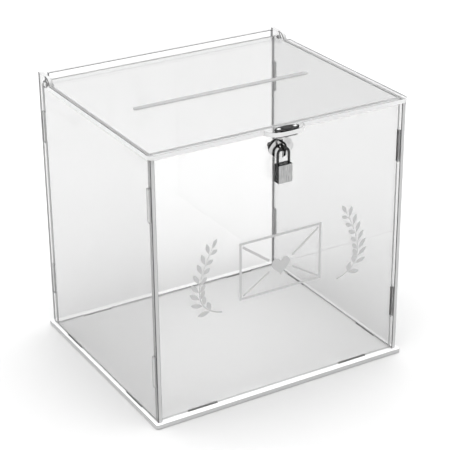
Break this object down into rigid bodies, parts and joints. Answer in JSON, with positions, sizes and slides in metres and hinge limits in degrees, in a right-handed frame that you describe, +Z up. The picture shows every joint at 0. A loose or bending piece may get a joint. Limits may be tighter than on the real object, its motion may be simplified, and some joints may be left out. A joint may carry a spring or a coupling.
{
  "type": "card box",
  "caption": "Clear acrylic card box: slotted sheet walls on a wider base, pivoting lid with a card slot and front tongue, chrome hasp, staple and small hanging padlock.",
  "frame": {"origin": "centre of the base plate's underside", "axes": "+Z up, front with hasp and padlock towards -Y, +X to the right as seen from the front"},
  "size_m": [0.261, 0.234, 0.262],
  "materials": {
    "clear_acrylic": "polished clear acrylic sheet",
    "chrome": "bright chrome plate",
    "plated_steel": "nickel-plated steel",
    "brushed_steel": "upright brushed grain",
    "brass": "machined",
    "frosted_print": "frosted grey-white print"
  },
  "bodies": {
    "box": {"base_plate": "clear_acrylic", "front_panel": "clear_acrylic", "back_panel": "clear_acrylic", "left_panel": "clear_acrylic", "right_panel": "clear_acrylic", "staple_plate": "chrome", "staple_ring": "chrome", "staple_screws": "plated_steel", "staple_nuts": "plated_steel"},
    "lid": {"lid_panel": "clear_acrylic", "hasp_plate": "chrome", "hasp_bracket": "chrome", "hasp_pin": "plated_steel", "hasp_screws": "plated_steel", "hasp_nuts": "plated_steel"},
    "leaf": {"hasp_leaf": "chrome"},
    "shackle": {"padlock_shackle": "chrome"},
    "padlock": {"padlock_case": "chrome", "padlock_front_plate": "brushed_steel", "padlock_back_plate": "brushed_steel"},
    "plug": {"padlock_plug": "brass"},
    "latch": {"padlock_latch": "plated_steel"}
  },
  "joints": [
    {"name": "lid_hinge", "type": "hinge", "parent": "box", "child": "lid", "pos_m": [0, 0.09555, 0.2541], "axis": [-1, 0, 0], "range_deg": [0, 110]},
    {"name": "leaf_swing", "type": "hinge", "parent": "lid", "child": "leaf", "pos_m": [-0.002, -0.10785, 0.2504], "axis": [-1, 0, 0], "range_deg": [0, 5]},
    {"name": "padlock_swing", "type": "hinge", "parent": "box", "child": "shackle", "pos_m": [-0.002, -0.11115, 0.2371], "axis": [-1, 0, 0], "range_deg": [-2.5, 60]},
    {"name": "padlock_release", "type": "slide", "parent": "shackle", "child": "padlock", "axis": [0, 0, -1], "range_m": [0, 0.0052]},
    {"name": "key_turn", "type": "hinge", "parent": "padlock", "child": "plug", "pos_m": [-0.002, -0.11115, 0.21325], "axis": [0, 0, 1], "range_deg": [0, 90]},
    {"name": "latch_slide", "type": "slide", "parent": "padlock", "child": "latch", "axis": [1, 0, 0], "range_m": [-0.001, 0]}
  ],
  "couplings": [
    {"joint": "key_turn", "follows": "latch_slide", "rad_per_m": -1570.8}
  ]
}
